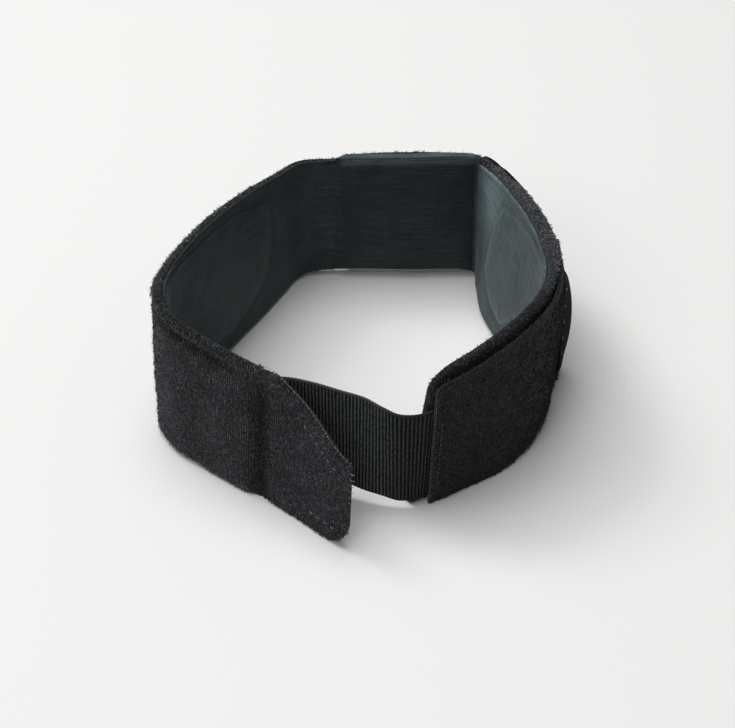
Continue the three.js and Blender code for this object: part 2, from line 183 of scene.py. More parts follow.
def smooth(points):
    """A centripetal Catmull-Rom line through the points, and its headings."""
    points = np.array(points, float)
    ends = 2 * points[[0, -1]] - points[[1, -2]]
    p = np.vstack([ends[:1], points, ends[1:]])
    step = np.sqrt(np.linalg.norm(np.diff(p, axis=0), axis=1))
    line, heading = [], []
    for i in range(len(points) - 1):
        a, b, c, d = p[i:i + 4]
        before, across, after = step[i:i + 3]
        across = across if across > 1e-4 else 1
        before = before if before > 1e-4 else across
        after = after if after > 1e-4 else across
        leave = (b - a) / before - (c - a) / (before + across) + (c - b) / across
        arrive = (c - b) / across - (d - b) / (across + after) + (d - c) / after
        leave, arrive = leave * across, arrive * across
        square = -3 * b + 3 * c - 2 * leave - arrive
        cube = 2 * b - 2 * c + leave + arrive
        last = i == len(points) - 2
        t = np.linspace(0, 1, SAMPLES + 1)[: None if last else -1, None]
        line.append(b + leave * t + square * t**2 + cube * t**3)
        heading.append(leave + 2 * square * t + 3 * cube * t**2)
    return np.vstack(line), np.vstack(heading)


class Path:
    """The middle line seen from above, with the cloth's lean, height and lift along it."""

    def __init__(self, rows, names=()):
        rows = np.array(rows, float)
        plan, heading = smooth(rows[:, :2])
        form, _ = smooth(rows[:, 2:])
        heading = unit(heading)
        self.s = lengths(plan)
        self.x, self.y = plan.T
        self.nx, self.ny = -heading[:, 1], heading[:, 0]
        self.lean = form[:, 0]
        self.rise = np.sqrt(form[:, 1] ** 2 - form[:, 0] ** 2)
        self.lift = np.maximum(form[:, 2], 0)
        self.length = self.s[-1]
        self.mark = dict(zip(names, self.s[::SAMPLES]))

    def read(self, name, s):
        return np.interp(s, self.s, getattr(self, name))

    def point(self, s, z, out):
        """Points of the cloth in millimetres: z up from the lower edge, out from the middle."""
        s, z, out = np.broadcast_arrays(s, z, out)
        shift = out + self.read("lean", s) * (z / self.read("rise", s) - 0.5)
        x = self.read("x", s) + self.read("nx", s) * shift
        y = self.read("y", s) + self.read("ny", s) * shift
        return np.stack([x, y, self.read("lift", s) + z], axis=-1) + FRAME_SHIFT

    def outward(self, s):
        """Unit vectors away from the middle line, level."""
        return unit(np.stack([self.read("nx", s), self.read("ny", s), 0 * s], axis=-1))


def scaled(row):
    x, y, lean, tall, lift = row
    tallness = [value * BAND_HEIGHT for value in (lean, tall, lift)]
    return [x * HALF_WIDTH, y * RING_DEPTH, *tallness]


body = Path([scaled(row) for row in BODY_ROWS.values()], BODY_ROWS)
tab_path = Path([scaled(row) for row in TAB_ROWS.values()], TAB_ROWS)
mark = body.mark
LEFT_CREASE, RIGHT_CREASE = mark["left crease"], mark["right crease"]
ELASTIC_ON_BODY = np.arange(mark["right turn"], body.length, ELASTIC_STEP)


def elastic_row(s, out, low):
    """A row of the elastic where it lies against the body."""
    x, y, _ = body.point(s, low + ELASTIC_HEIGHT / 2, out) - FRAME_SHIFT
    lean = body.read("lean", s) * ELASTIC_HEIGHT / body.read("rise", s)
    return [x, y, lean, ELASTIC_HEIGHT, low]


def elastic_rows():
    rows = [elastic_row(s, ELASTIC_IN, ELASTIC_LOW) for s in ELASTIC_ON_BODY]
    lows = np.linspace(ELASTIC_LOW, ELASTIC_LOW_AT_TAB, len(FRONT_ELASTIC_ROWS))
    for (x, y, lean), low in zip(FRONT_ELASTIC_ROWS, lows):
        rows.append([x * HALF_WIDTH, y * RING_DEPTH, lean * BAND_HEIGHT, ELASTIC_HEIGHT, low])
    for s in np.arange(1, ELASTIC_HOLD_LEFT + 0.1, ELASTIC_STEP - 1):
        rows.append(elastic_row(s, ELASTIC_INSIDE, ELASTIC_LOW_AT_TAB))
    return rows


elastic_path = Path(elastic_rows())
ELASTIC_BARE = elastic_path.s[SAMPLES * len(ELASTIC_ON_BODY)]


def portion(value, start, end):
    return np.clip((value - start) / (end - start), 0, 1)


def ease(value, start, end):
    t = portion(value, start, end)
    return t * t * (3 - 2 * t)


def read_row(rows, along, column):
    """A column of a short table, read smoothly between its rows."""
    rows = np.array(rows)
    along = np.clip(along, 0, 1)
    i = np.clip(np.searchsorted(rows[:, 0], along), 1, len(rows) - 1)
    even = (along - rows[i - 1, 0]) / (rows[i, 0] - rows[i - 1, 0])
    t = (even + ease(even, 0, 1)) / 2
    return rows[i - 1, column] + (rows[i, column] - rows[i - 1, column]) * t


def read_edges(rows, along):
    """Both edges in a short table of shares of BAND_HEIGHT, in millimetres."""
    return [read_row(rows, along, column) * BAND_HEIGHT for column in (1, 2)]


def between(value, start, full, falls, end):
    """0 before start and after end, 1 from full to falls."""
    return ease(value, start, full) * (1 - ease(value, falls, end))


def corner_loss(from_end, radius):
    inside = np.clip(from_end, 0, radius)
    return radius - np.sqrt(radius**2 - (radius - inside) ** 2)


# A closed layer of cloth, skinned round a rounded cross-section

def cross_section(face_points, arc_points):
    """The loop round a layer: share of height and of thickness, and pulls in corner radii."""
    side = np.linspace(0, 1, face_points)[1:-1]
    turn = np.linspace(0, math.pi / 2, arc_points + 2)
    one, flat = np.ones_like(side), 0 * side
    up_arc, still = np.ones_like(turn), 0 * turn
    sin, cos = np.sin(turn), np.cos(turn)
    parts = (
        (side, one, 1 - 2 * side, flat),
        (up_arc, up_arc, sin - 1, cos - 1),
        (up_arc, still, cos - 1, 1 - sin),
        (1 - side, flat, 2 * side - 1, flat),
        (still, still, 1 - sin, 1 - cos),
        (still, up_arc, 1 - cos, sin - 1),
    )
    up, out, pull_up, pull_out = (np.concatenate(column) for column in zip(*parts))
    return up, out, pull_up, pull_out


def along(start, end, step, rim):
    """Stops along a layer, closer at both ends, and how far each end is rounded there."""
    turn = np.linspace(0, math.pi / 2, 6)
    near = rim * (1 - np.cos(turn))
    drawn = rim * (1 - np.sin(turn))
    count = max(2, round((end - start - 2 * rim) / step))
    middle = np.linspace(start + rim, end - rim, count + 1)[1:-1]
    stops = np.concatenate([start + near, middle, (end - near)[::-1]])
    return stops, np.concatenate([drawn, 0 * middle, drawn[::-1]])


class Layer:
    """The grid of a closed cloth layer: rows along the path, columns round its section."""

    def __init__(self, path, start, end, span, faces, **shape):
        radius = shape.get("radius", 0.5)
        step, fine = shape.get("step", 1.2), shape.get("fine", 1.2)
        s, drawn = along(start, end, step, shape.get("rim", radius))
        low, high = (value + 0 * s for value in span(s))
        inner, outer = (value(s) if callable(value) else value + 0 * s for value in faces)
        count = max(4, round(float(np.max(high - low)) / fine) + 1)
        up, out, pull_up, pull_out = cross_section(count, 3)
        r = np.minimum(radius, (outer - inner) / 2)
        squeeze = np.minimum(drawn, (outer - inner) / 2 - 0.02)
        inner, outer = inner + squeeze, outer - squeeze
        low, high = low + drawn, high - drawn
        r = np.minimum(r, (outer - inner) / 2)
        self.s = np.repeat(s[:, None], len(up), 1)
        self.z = low[:, None] + (high - low)[:, None] * up + r[:, None] * pull_up
        self.out = inner[:, None] + (outer - inner)[:, None] * out + r[:, None] * pull_out
        out = out + 0 * self.s
        self.outer = out * np.clip(1 + pull_out, 0, 1)
        self.inner = (1 - out) * np.clip(1 - pull_out, 0, 1)
        self.inner_half = 1 - out
        for move, weight in (("stand", 1), ("relief", self.outer), ("relief_in", self.inner)):
            if move in shape:
                self.out = self.out + shape[move](self.s, self.z) * weight
        self.path = path
        self.points = path.point(self.s, self.z, self.out)
        self.points[..., 2] = np.maximum(self.points[..., 2], FLOOR_CLEAR)

    def faces(self):
        rows, columns = self.s.shape
        i, k = np.meshgrid(np.arange(rows - 1), np.arange(columns), indexing="ij")
        after = (k + 1) % columns
        quads = np.stack([i * columns + k, (i + 1) * columns + k,
                          (i + 1) * columns + after, i * columns + after], axis=-1)
        first = list(range(columns))
        last = list(range((rows - 1) * columns, rows * columns))[::-1]
        return quads.reshape(-1, 4)[:, ::-1].tolist() + [first[::-1], last[::-1]]

    def make(self, name, material):
        o = mesh_object(name, self.points.reshape(-1, 3), self.faces(), material)
        flat = np.stack([self.s, self.z], axis=-1).reshape(-1, 2) * 0.01
        set_uv(o, flat)
        return o


def in_scene(name, data):
    o = bpy.data.objects.new(name, data)
    scene.collection.objects.link(o)
    return o


def mesh_object(name, points, faces, material):
    """A smooth-shaded object in metres from points in millimetres."""
    mesh = bpy.data.meshes.new(name)
    mesh.from_pydata((np.asarray(points) * MM).tolist(), [], faces)
    mesh.update()
    mesh.shade_smooth()
    mesh.materials.append(material)
    return in_scene(name, mesh)


def set_uv(o, flat):
    """The cloth's own flat coordinates, in tenths of a metre."""
    corners = np.zeros(len(o.data.loops), np.int32)
    o.data.loops.foreach_get("vertex_index", corners)
    layer = o.data.uv_layers.new(name="cloth")
    layer.data.foreach_set("uv", flat[corners].astype(np.float32).ravel())


def paint(o, values, name="tone"):
    """A number at every point of a piece, for its material to read."""
    layer = o.data.attributes.new(name, "FLOAT", "POINT")
    layer.data.foreach_set("value", np.asarray(values, np.float32).ravel())


# Pile: short hooked strands that stand on a layer's outer face

PILE = {"length": 1.25, "width": 0.26, "wale": 0.82, "snap": 0.55, "clump": 1.15}
STRAYS = {"share": 0.05, "longer": 1.5, "thinner": 0.5}
STRAND = {"root": 0.12, "upright": 0.8, "lean": (0.4, 0.45), "lower": 0.6,
          "tip_up": 0.15, "tip_lean": 0.6, "hook": (0.6, 0.6), "upper": 0.45, "taper": 0.9}
CLUMP_GRID = (97, 89)


def surface_frames(layer):
    """Normals and the two headings at every grid point of a layer."""
    lengthwise = np.gradient(layer.points, axis=0)
    around = np.roll(layer.points, -1, axis=1) - np.roll(layer.points, 1, axis=1)
    normal = np.cross(around, lengthwise)
    return [v / (np.linalg.norm(v, axis=-1, keepdims=True) + 1e-9)
            for v in (normal, lengthwise, around)]


def pile(name, layer, count, seed, keep, material, length=1.0, tone=1.0):
    """Strands spread over a layer's cells by their area times keep(layer)."""
    rng = np.random.default_rng(seed)
    p = layer.points
    columns = layer.s.shape[1]
    sides = np.cross(p[1:] - p[:-1], np.roll(p[:-1], -1, axis=1) - p[:-1])
    weight = (np.linalg.norm(sides, axis=-1) * keep(layer)[:-1]).ravel()
    cell = rng.choice(weight.size, count, p=weight / weight.sum())
    i, k = np.divmod(cell, columns)
    nxt = (k + 1) % columns
    u, v = rng.random((2, count))
    s = layer.s[i, k] + (layer.s[i + 1, k] - layer.s[i, k]) * u
    column = np.round(s / PILE["wale"]) * PILE["wale"]
    width = layer.s[i + 1, k] - layer.s[i, k] + 1e-6
    u = np.clip(u + (column - s) * PILE["snap"] / width, 0, 1)[:, None]
    v = v[:, None]

    def blend(grid):
        low = grid[i, k] * (1 - u) + grid[i + 1, k] * u
        high = grid[i, nxt] * (1 - u) + grid[i + 1, nxt] * u
        return low * (1 - v) + high * v

    root = blend(p)
    normal, lengthwise, around = (blend(grid) for grid in surface_frames(layer))
    place = blend(np.stack([layer.s, layer.z, layer.out], axis=-1))
    clumps = rng.uniform(0.3, 1.1, CLUMP_GRID)
    clump = clumps[tuple(np.floor(place[:, k] / PILE["clump"]).astype(int) % n
                         for k, n in enumerate(CLUMP_GRID))][:, None]
    stray = rng.random((count, 1)) < STRAYS["share"]
    tall = PILE["length"] * length * clump * rng.uniform(0.7, 1.1, (count, 1))
    tall = np.where(stray, STRAYS["longer"] * PILE["length"] * length, tall)

    def scatter(one, other):
        return rng.normal(0, one, (count, 1)) * lengthwise + rng.normal(0, other, (count, 1)) * around

    lean = scatter(*STRAND["lean"])
    first = unit(normal * STRAND["upright"] + lean)
    second = unit(normal * STRAND["tip_up"] + lean * STRAND["tip_lean"] + scatter(*STRAND["hook"]))
    across = unit(np.cross(first, rng.normal(0, 1, (count, 3))))
    half = PILE["width"] / 2 * rng.uniform(0.6, 1.2, (count, 1))
    half = np.where(stray, half * STRAYS["thinner"], half)
    root = root - normal * STRAND["root"]
    middle = root + first * tall * STRAND["lower"]
    tip = middle + second * tall * STRAND["upper"]
    wide, narrow = across * half, across * half * STRAND["taper"]
    strand = np.stack([root - wide, root + wide, middle + narrow, middle - narrow, tip], axis=1)
    strand[..., 2] = np.maximum(strand[..., 2], FLOOR_CLEAR)
    base = np.arange(count)[:, None] * 5
    quads = (base + [0, 1, 2, 3]).tolist()
    tips = (base + [3, 2, 4]).tolist()
    o = mesh_object(name, strand.reshape(-1, 3), quads + tips, material)
    if callable(tone):
        tone = tone(place[:, 0], place[:, 1])
    # Each strand's tint is random, plus a painted highlight on the taller clumps, whose tips catch the
    # light, times the piece's tone.
    shade = tone * (rng.random(count) * 0.6 + 0.4 * clump[:, 0] / 1.1)
    paint(o, np.repeat(shade, 5), "tint")
    return o


def grown(layer, edge):
    """Pile all over the outer face, and thinned to a share of it round the edges."""
    return np.maximum(layer.outer, edge * (1 - layer.inner))


# Stitches: short bowed threads that dip into the cloth at both ends

STITCH_RINGS, STITCH_SIDES = 5, 6
HEADING_REACH = {"seam": 0.3, "bar": 0.5}


def stitches(name, places, headings, normals, material, length=1.9, thick=0.34, bow=0.25):
    """One thread per place, laid along its heading and bowed away from the cloth."""
    places, headings, normals = (np.asarray(v, float) for v in (places, headings, normals))
    side = np.cross(headings, normals)
    u = np.linspace(-1, 1, STITCH_RINGS)[None, :, None]
    middle = places[:, None] + headings[:, None] * u * length / 2
    middle = middle + normals[:, None] * (bow * (1 - 2 * u**2))
    radius = thick / 2 * np.sqrt(np.clip(1.02 - u**4, 0.02, 1))
    angle = np.linspace(0, 2 * math.pi, STITCH_SIDES, endpoint=False)
    ring = [middle + radius * (side[:, None] * math.cos(a) + normals[:, None] * math.sin(a))
            for a in angle]
    points = np.stack(ring, axis=2).reshape(-1, 3)
    faces = []
    size, sides = STITCH_RINGS * STITCH_SIDES, range(STITCH_SIDES)
    for start in range(0, len(places) * size, size):
        last = start + size - STITCH_SIDES
        for ring in range(start, last, STITCH_SIDES):
            above = ring + STITCH_SIDES
            for a in sides:
                b = (a + 1) % STITCH_SIDES
                faces.append([ring + a, ring + b, above + b, above + a])
        faces.append([start + a for a in sides][::-1])
        faces.append([last + a for a in sides])
    return mesh_object(name, points, faces, material)


def seam(name, path, s, z, out, material, facing=1, pitch=2.4, **thread):
    """Stitches at an even pitch along the line s, z on a face of the cloth."""
    line = path.point(s, z, out)
    gone = lengths(line)
    at = np.arange(pitch / 2, gone[-1], pitch)

    def on_line(where):
        return np.stack([np.interp(where, gone, line[:, k]) for k in range(3)], axis=-1)

    reach = HEADING_REACH["seam"]
    heading = unit(on_line(at + reach) - on_line(at - reach))
    normal = path.outward(np.interp(at, gone, s)) * facing
    normal = unit(normal - heading * (heading * normal).sum(1)[:, None])
    return stitches(name, on_line(at), heading, normal, material, **thread)


def bars(name, path, s, z, out, material, ahead=0.0, **thread):
    """Stitches that lie along the band, one above the other."""
    heading = unit(path.point(s + HEADING_REACH["bar"], z, out) - path.point(s, z, out))
    place = path.point(s, z, out) + heading * ahead
    return stitches(name, place, heading, path.outward(s), material, **thread)


# Materials

RIB = {"pitch": 1.1, "deep": 0.34}


class Shader:
    """A node material with a few short helpers."""

    def __init__(self, name, roughness, sheen=0.0, sheen_tint=(1, 1, 1), specular=0.3):
        self.material = bpy.data.materials.new(name)
        self.material.use_nodes = True
        self.nodes = self.material.node_tree.nodes
        self.links = self.material.node_tree.links
        self.surface = self.nodes["Principled BSDF"]
        look = {"Roughness": roughness, "Sheen Weight": sheen, "Sheen Roughness": 0.45,
                "Sheen Tint": (*sheen_tint, 1), "Specular IOR Level": specular}
        for socket, value in look.items():
            self.surface.inputs[socket].default_value = value
        self.place = self.nodes.new("ShaderNodeTexCoord")

    def set(self, node, name, value):
        if hasattr(value, "is_linked"):
            self.links.new(value, node.inputs[name])
        else:
            node.inputs[name].default_value = value

    def flat(self, along, up):
        """The cloth's own coordinates, counted in lengths of along and up millimetres."""
        node = self.nodes.new("ShaderNodeMapping")
        self.links.new(self.place.outputs["UV"], node.inputs["Vector"])
        node.inputs["Scale"].default_value = (100 / along, 100 / up, 1)
        return node.outputs["Vector"]

    def noise(self, size, vector=None, detail=3.0, rough=0.6):
        """Noise of about that many millimetres, in space or in the given coordinates."""
        node = self.nodes.new("ShaderNodeTexNoise")
        self.set(node, "Vector", vector or self.place.outputs["Object"])
        self.set(node, "Scale", 1.0 if vector else 1 / (size * MM))
        self.set(node, "Detail", detail)
        self.set(node, "Roughness", rough)
        return node.outputs["Fac"]

    def ramp(self, factor, *stops):
        node = self.nodes.new("ShaderNodeValToRGB")
        self.links.new(factor, node.inputs["Fac"])
        points = node.color_ramp.elements
        while len(points) < len(stops):
            points.new(0.5)
        for point, (at, colour) in zip(points, stops):
            point.position = at
            point.color = (*colour, 1)
        return node.outputs["Color"]

    def math(self, operation, a, b=0.0, c=0.0):
        node = self.nodes.new("ShaderNodeMath")
        node.operation = operation
        for i, value in enumerate((a, b, c)):
            self.set(node, i, value)
        return node.outputs[0]

    def wave(self, vector, axis, lag=0.0):
        """A soft wave that repeats once for each whole number along an axis."""
        turn = self.math("MULTIPLY_ADD", self.part(vector, axis), 2 * math.pi, -2 * math.pi * lag)
        return self.math("MULTIPLY_ADD", self.math("SINE", turn), 0.5, 0.5)

    def part(self, vector, axis):
        split = self.nodes.new("ShaderNodeSeparateXYZ")
        self.links.new(vector, split.inputs[0])
        return split.outputs[axis]

    def mix(self, factor, a, b, blend="MIX"):
        node = self.nodes.new("ShaderNodeMix")
        node.data_type = "RGBA"
        node.blend_type = blend
        for name, value in (("Factor", factor), ("A", a), ("B", b)):
            socket = next(i for i in node.inputs if i.name == name and i.enabled)
            if hasattr(value, "is_linked"):
                self.links.new(value, socket)
            else:
                socket.default_value = value if name == "Factor" else (*value, 1)
        return next(o for o in node.outputs if o.enabled)

    def colour(self, value):
        self.links.new(value, self.surface.inputs["Base Color"])

    def painted(self, name):
        """The outputs of a number that was painted on the piece."""
        node = self.nodes.new("ShaderNodeAttribute")
        node.attribute_name = name
        return node.outputs

    def toned(self, value):
        """The colour times the tone painted on the piece, which darkens or lightens it."""
        self.colour(self.mix(1.0, value, self.painted("tone")["Color"], "MULTIPLY"))

    def bump(self, height, depth, strength=1.0):
        node = self.nodes.new("ShaderNodeBump")
        self.set(node, "Height", height)
        self.set(node, "Distance", depth * MM)
        self.set(node, "Strength", strength)
        self.links.new(node.outputs["Normal"], self.surface.inputs["Normal"])


def pile_material():
    m = Shader("pile_ground", 0.95, sheen=0.15, sheen_tint=(0.75, 0.77, 0.84))
    grain = m.noise(1, m.flat(0.75, 2.0), detail=4, rough=0.7)
    flecks = m.noise(0.6)
    wales = m.wave(m.flat(PILE["wale"], 1), 0)
    patches = m.noise(9)
    shade = m.math("MULTIPLY_ADD", wales, 0.1, m.math("MULTIPLY_ADD", patches, 0.15,
                   m.math("MULTIPLY", m.math("ADD", grain, flecks), 0.5)))
    m.toned(m.ramp(shade, (0.54, (0.0012, 0.0013, 0.0015)), (0.62, (0.0085, 0.009, 0.0105)),
                   (0.69, (0.037, 0.039, 0.044)), (0.78, (0.125, 0.129, 0.142))))
    m.bump(m.math("ADD", grain, m.math("MULTIPLY", wales, 0.3)), 0.4)
    return m.material


def strand_material():
    m = Shader("pile_strand", 0.8, sheen=0.3, sheen_tint=(0.78, 0.79, 0.88))
    patches = m.noise(7, detail=2)
    shade = m.math("MULTIPLY_ADD", patches, 0.3, m.math("SUBTRACT", m.painted("tint")["Fac"], 0.15))
    m.colour(m.ramp(shade, (0.12, (0.003, 0.0032, 0.0038)), (0.44, (0.0135, 0.0143, 0.0168)),
                    (0.64, (0.05, 0.0525, 0.0595)), (0.82, (0.11, 0.114, 0.128)),
                    (0.95, (0.22, 0.224, 0.245))))
    return m.material


def tricot_material():
    m = Shader("tricot", 0.75, sheen=0.12, sheen_tint=(0.72, 0.82, 0.82), specular=0.25)
    wales = m.wave(m.flat(1, 0.66), 1)
    courses = m.wave(m.flat(0.5, 1), 0)
    streaks = m.noise(1, m.flat(14, 0.7), detail=3)
    grain = m.noise(0.55, detail=3)
    cloud = m.noise(13, detail=3)
    shade = m.math("MULTIPLY_ADD", wales, 0.16, m.math("MULTIPLY_ADD", streaks, 0.45,
                   m.math("MULTIPLY_ADD", grain, 0.3, m.math("MULTIPLY", cloud, 0.35))))
    m.toned(m.ramp(shade, (0.44, (0.012, 0.017, 0.0185)), (0.64, (0.028, 0.0385, 0.042)),
                   (0.84, (0.058, 0.076, 0.08))))
    knit = m.math("MULTIPLY_ADD", courses, 0.35, m.math("ADD", wales, grain))
    m.bump(knit, 0.035)
    return m.material


def webbing_material(name, tone, edge, edge_height):
    m = Shader(name, 0.85, sheen=0.02, specular=0.07)
    picks = m.wave(m.flat(1, 0.42), 1)
    wear = m.noise(1, m.flat(0.55, 1.3), detail=3)
    ribs = m.wave(m.flat(RIB["pitch"], 1), 0, lag=0.25)
    shade = m.math("MULTIPLY_ADD", picks, 0.1, m.math("MULTIPLY_ADD", ribs, 0.35,
                   m.math("MULTIPLY", wear, 0.6)))
    dark, light = (tuple(c * k for c in tone) for k in (0.25, 4.4))
    body_colour = m.ramp(shade, (0.34, dark), (0.55, tone), (0.75, light))
    # The top band takes the edge colour: on the elastic a painted highlight, on the strap a plain
    # darker edge.
    height = m.part(m.flat(1, 1), 1)
    on_edge = m.math("GREATER_THAN", height, edge_height - 0.75)
    m.toned(m.mix(on_edge, body_colour, edge))
    m.bump(m.math("ADD", m.math("MULTIPLY", picks, 0.5), wear), 0.1)
    return m.material


def thread_material(name, dark, light):
    m = Shader(name, 0.6, sheen=0.3)
    twist = m.noise(0.5, detail=2)
    m.colour(m.ramp(twist, (0.35, dark), (0.7, light)))
    m.bump(twist, 0.06)
    return m.material


def hook_material():
    m = Shader("hook_tape", 0.5, specular=0.5)
    weave = m.noise(0.4, detail=2)
    m.colour(m.ramp(weave, (0.3, (0.006, 0.006, 0.007)), (0.8, (0.03, 0.03, 0.032))))
    m.bump(weave, 0.1)
    return m.material


def floor_material():
    m = Shader("floor", 0.9, specular=0.15)
    cloud = m.noise(900, detail=2)
    m.colour(m.ramp(cloud, (0.3, (0.86, 0.86, 0.852)), (0.7, (0.875, 0.875, 0.868))))
    return m.material


PILE_GROUND, PILE_STRAND = pile_material(), strand_material()
TRICOT, HOOK = tricot_material(), hook_material()
# A painted highlight along the elastic's top edge, in a pale beige-brown.
ELASTIC = webbing_material("elastic", (0.0225, 0.0255, 0.0245), (0.05, 0.046, 0.037),
                           ELASTIC_HEIGHT)
STRAP_WEB = webbing_material("strap_webbing", (0.0055, 0.006, 0.0065), (0.004, 0.0044, 0.005),
                             BAND_HEIGHT)
DARK_THREAD = thread_material("dark_thread", (0.012, 0.012, 0.014), (0.05, 0.05, 0.056))
PALE_THREAD = thread_material("pale_thread", (0.11, 0.115, 0.12), (0.36, 0.38, 0.39))
# Its pale colour is partly a painted highlight on the tab's cut edge.
EDGE_THREAD_AND_HIGHLIGHT = thread_material("edge_thread_and_highlight", (0.03, 0.031, 0.034), (0.3, 0.305, 0.32))
DIM_THREAD = thread_material("dim_thread", (0.02, 0.023, 0.025), (0.12, 0.13, 0.135))


# Waves of hand-made cloth: a few fixed sines, no two of the same length

def waver(s, z, tall=0.22):
    return tall * (np.sin(s / 7.3 + z / 11) + 0.6 * np.sin(s / 3.9 - z / 6.1 + 1.3)
                   + 0.5 * np.sin(z / 4.7 + s / 17 + 0.4)) / 2


def near(value, centre, width):
    return np.exp(-(((value - centre) / width) ** 2))


def below_rim(s, z):
    return body.read("rise", s) - z


# The valley where the tab is sewn on; it fades out towards the rim
ROOT = {"wide": 3, "dent_from": 34, "shade_from": 36, "to": 46, "faded": 0.7}
ROOT_TUFTS = {"more": 4, "wide": 0.9}


def root_dent(from_root, z):
    fade = ROOT["faded"] * ease(z, ROOT["dent_from"], ROOT["to"])
    return near(from_root, 0, ROOT["wide"]) * (1 - fade)


def root_shade(from_root, z):
    return near(from_root, 0, ROOT["wide"]) * (1 - ease(z, ROOT["shade_from"], ROOT["to"]))


def root_tufts(from_root):
    """How much denser the pile is right beside the seam."""
    return 1 + ROOT_TUFTS["more"] * near(from_root, 0, ROOT_TUFTS["wide"])


# The back panel: its lining is thicker and comes over the top, and the shell behind is thin

PANEL = {"ease": 4, "lining": 1.5, "thin": 1.5, "cover": 2.4, "lowered": 0.1, "bow": 2.4}


def in_panel(s):
    start, end = LEFT_CREASE, RIGHT_CREASE
    return between(s, start - 0.5, start + PANEL["ease"], end - 1, end + 0.6)


def left_rim(s):
    """Where the lining comes right up to the rim of the left wing."""
    return between(s, mark["left turn"], mark["left turn back"] + 4, LEFT_CREASE + 1,
                   LEFT_CREASE + 4)


def bare_rim(s):
    """Where the lining hides the pile rim altogether: before the left crease."""
    return left_rim(s) * ease(s, mark["left wing"], mark["left bend"])


def wing_bulge(s):
    """Where the right wing's rim bulges out over the strap."""
    turn = mark["right turn"]
    return between(s, mark["right bend"] + 3, mark["right pad back"] + 3, turn - 10, turn)


def right_rim(s):
    turn = mark["right turn"]
    return between(s, RIGHT_CREASE, mark["right bend"], turn - 6, turn + 4)


def body_span(inset):
    def span(s):
        from_end = body.length - inset - s
        rise = body.read("rise", s)
        top = rise - corner_loss(from_end - END_CUT["length"] / 2, END_CUT["corner"])
        cut = np.clip(from_end / END_CUT["length"], 0, 1)
        lower = END_CUT["lowest"]
        return inset + 0 * s, lower + (top - lower) * cut - inset
    return span


LINING_INSET = 1.3
RIM = {"lowered": 0.9, "cover": 0.9, "hidden": 1.6, "thin": 1.0, "thinner": 1.1, "deep": 3.5,
       "bulge": 1.7}


def shell_span(s):
    low, high = body_span(0)(s)
    return low, high - np.maximum(in_panel(s) * PANEL["lowered"], bare_rim(s) * RIM["lowered"])


def panel_bow(s):
    """How far the thin outer layer stands off the middle of the panel's top."""
    share = portion(s, LEFT_CREASE, RIGHT_CREASE)
    return PANEL["bow"] * np.sin(math.pi * share) ** 2 * 0.5


HEM = {"groove": 4.6, "from": 3, "to": 50}


def hem(s):
    return between(s, HEM["from"], HEM["from"] + 10, HEM["to"] - 14, HEM["to"])


def right_shade(s):
    return ease(s, mark["right turn"], mark["right turn front"])


def shell_tone(s, z):
    """Painted light and shade on the shell's pile: painted shade in the valley at the tab's root, in
    the hem's groove, on the hem's strip above it and over the front right, with painted highlights
    along the rims and a painted pale sheen low on the front left.
    """
    from_top = below_rim(s, z)
    valley = 0.55 * root_shade(s, z)
    valley = valley + 0.3 * hem(s) * near(from_top, HEM["groove"], 1.6)
    rims = (left_rim(s) + right_rim(s)) * (1 - ease(from_top, 0.5, 3))
    low = 0.25 * (1 - ease(s, 40, 70)) * (1 - ease(z, 0, 7))
    strip = 0.14 * hem(s) * (1 - ease(from_top, 3, 6))
    shade = 0.22 * right_shade(s)
    return 0.94 - valley - strip - shade + 0.45 * rims + low


def shell_relief(s, z):
    """A rolled upper hem with a soft groove under it, on the front left."""
    from_top = below_rim(s, z)
    root = -2.0 * root_dent(s, z)
    groove = -1.1 * near(from_top, HEM["groove"], 1.5) + 0.3 * near(from_top, 1.8, 1.4)
    thin = left_rim(s) * RIM["thin"] + bare_rim(s) * RIM["thinner"]
    top = 1 - ease(from_top, 0, RIM["deep"])
    bulge = RIM["bulge"] * wing_bulge(s) * (1 - ease(from_top, 1.5, 4.5))
    return root + hem(s) * groove - thin * top + bulge + waver(s, z)


def shell_stand(s, z):
    return panel_bow(s) * ease(z, 30, 47)


shell = Layer(body, 0, body.length, shell_span,
              (lambda s: SHELL_IN + in_panel(s) * PANEL["thin"], SHELL_OUT),
              radius=1.45, rim=0.2, step=1.3, fine=1.3, relief=shell_relief, stand=shell_stand)
shell_cloth = shell.make("shell_pile", PILE_GROUND)
paint(shell_cloth, shell_tone(shell.s, shell.z))
shell_fuzz = pile("shell_fuzz", shell, 62000, 11,
                  lambda g: grown(g, 0.9) * root_tufts(g.s), PILE_STRAND, tone=shell_tone)


LEFT_PAD = (mark["left turn front"] + 3, mark["left pad back"] + 8)
RIGHT_PAD = (mark["right bend"] + 10, mark["right turn"] + 2)
PANEL_PAD = {"from_crease": 0.7, "low": 2.2, "top": -1.0, "bevel": 2.5}
PAD_RISE = {"height": 1.0, "panel": 1.1, "wide": 5.5, "lip": 0.1}
OUTLINE_STEPS = 70


def inside_pad(place, outline, s, z):
    """How far inside a pad's outline each point lies, in millimetres; negative outside."""
    start, end = place
    share = np.linspace(0, 1, OUTLINE_STEPS)
    low, high = read_edges(outline, share)
    at = start + (end - start) * share
    ring = np.stack([np.concatenate([at, at[::-1]]), np.concatenate([low, high[::-1]])], axis=1)
    points = np.stack([np.ravel(s), np.ravel(z)], axis=1)
    nearest = np.full(len(points), 1e3)
    for a, b in zip(ring, np.roll(ring, -1, axis=0)):
        side = b - a
        t = np.clip((points - a) @ side / (side @ side + 1e-9), 0, 1)
        gap = np.linalg.norm(points - a - t[:, None] * side, axis=1)
        nearest = np.minimum(nearest, gap)
    nearest = nearest.reshape(np.shape(s))
    own = (s - start) / (end - start)
    low, high = read_edges(outline, own)
    return np.where((own >= 0) & (own <= 1) & (z > low) & (z < high), nearest, -nearest)


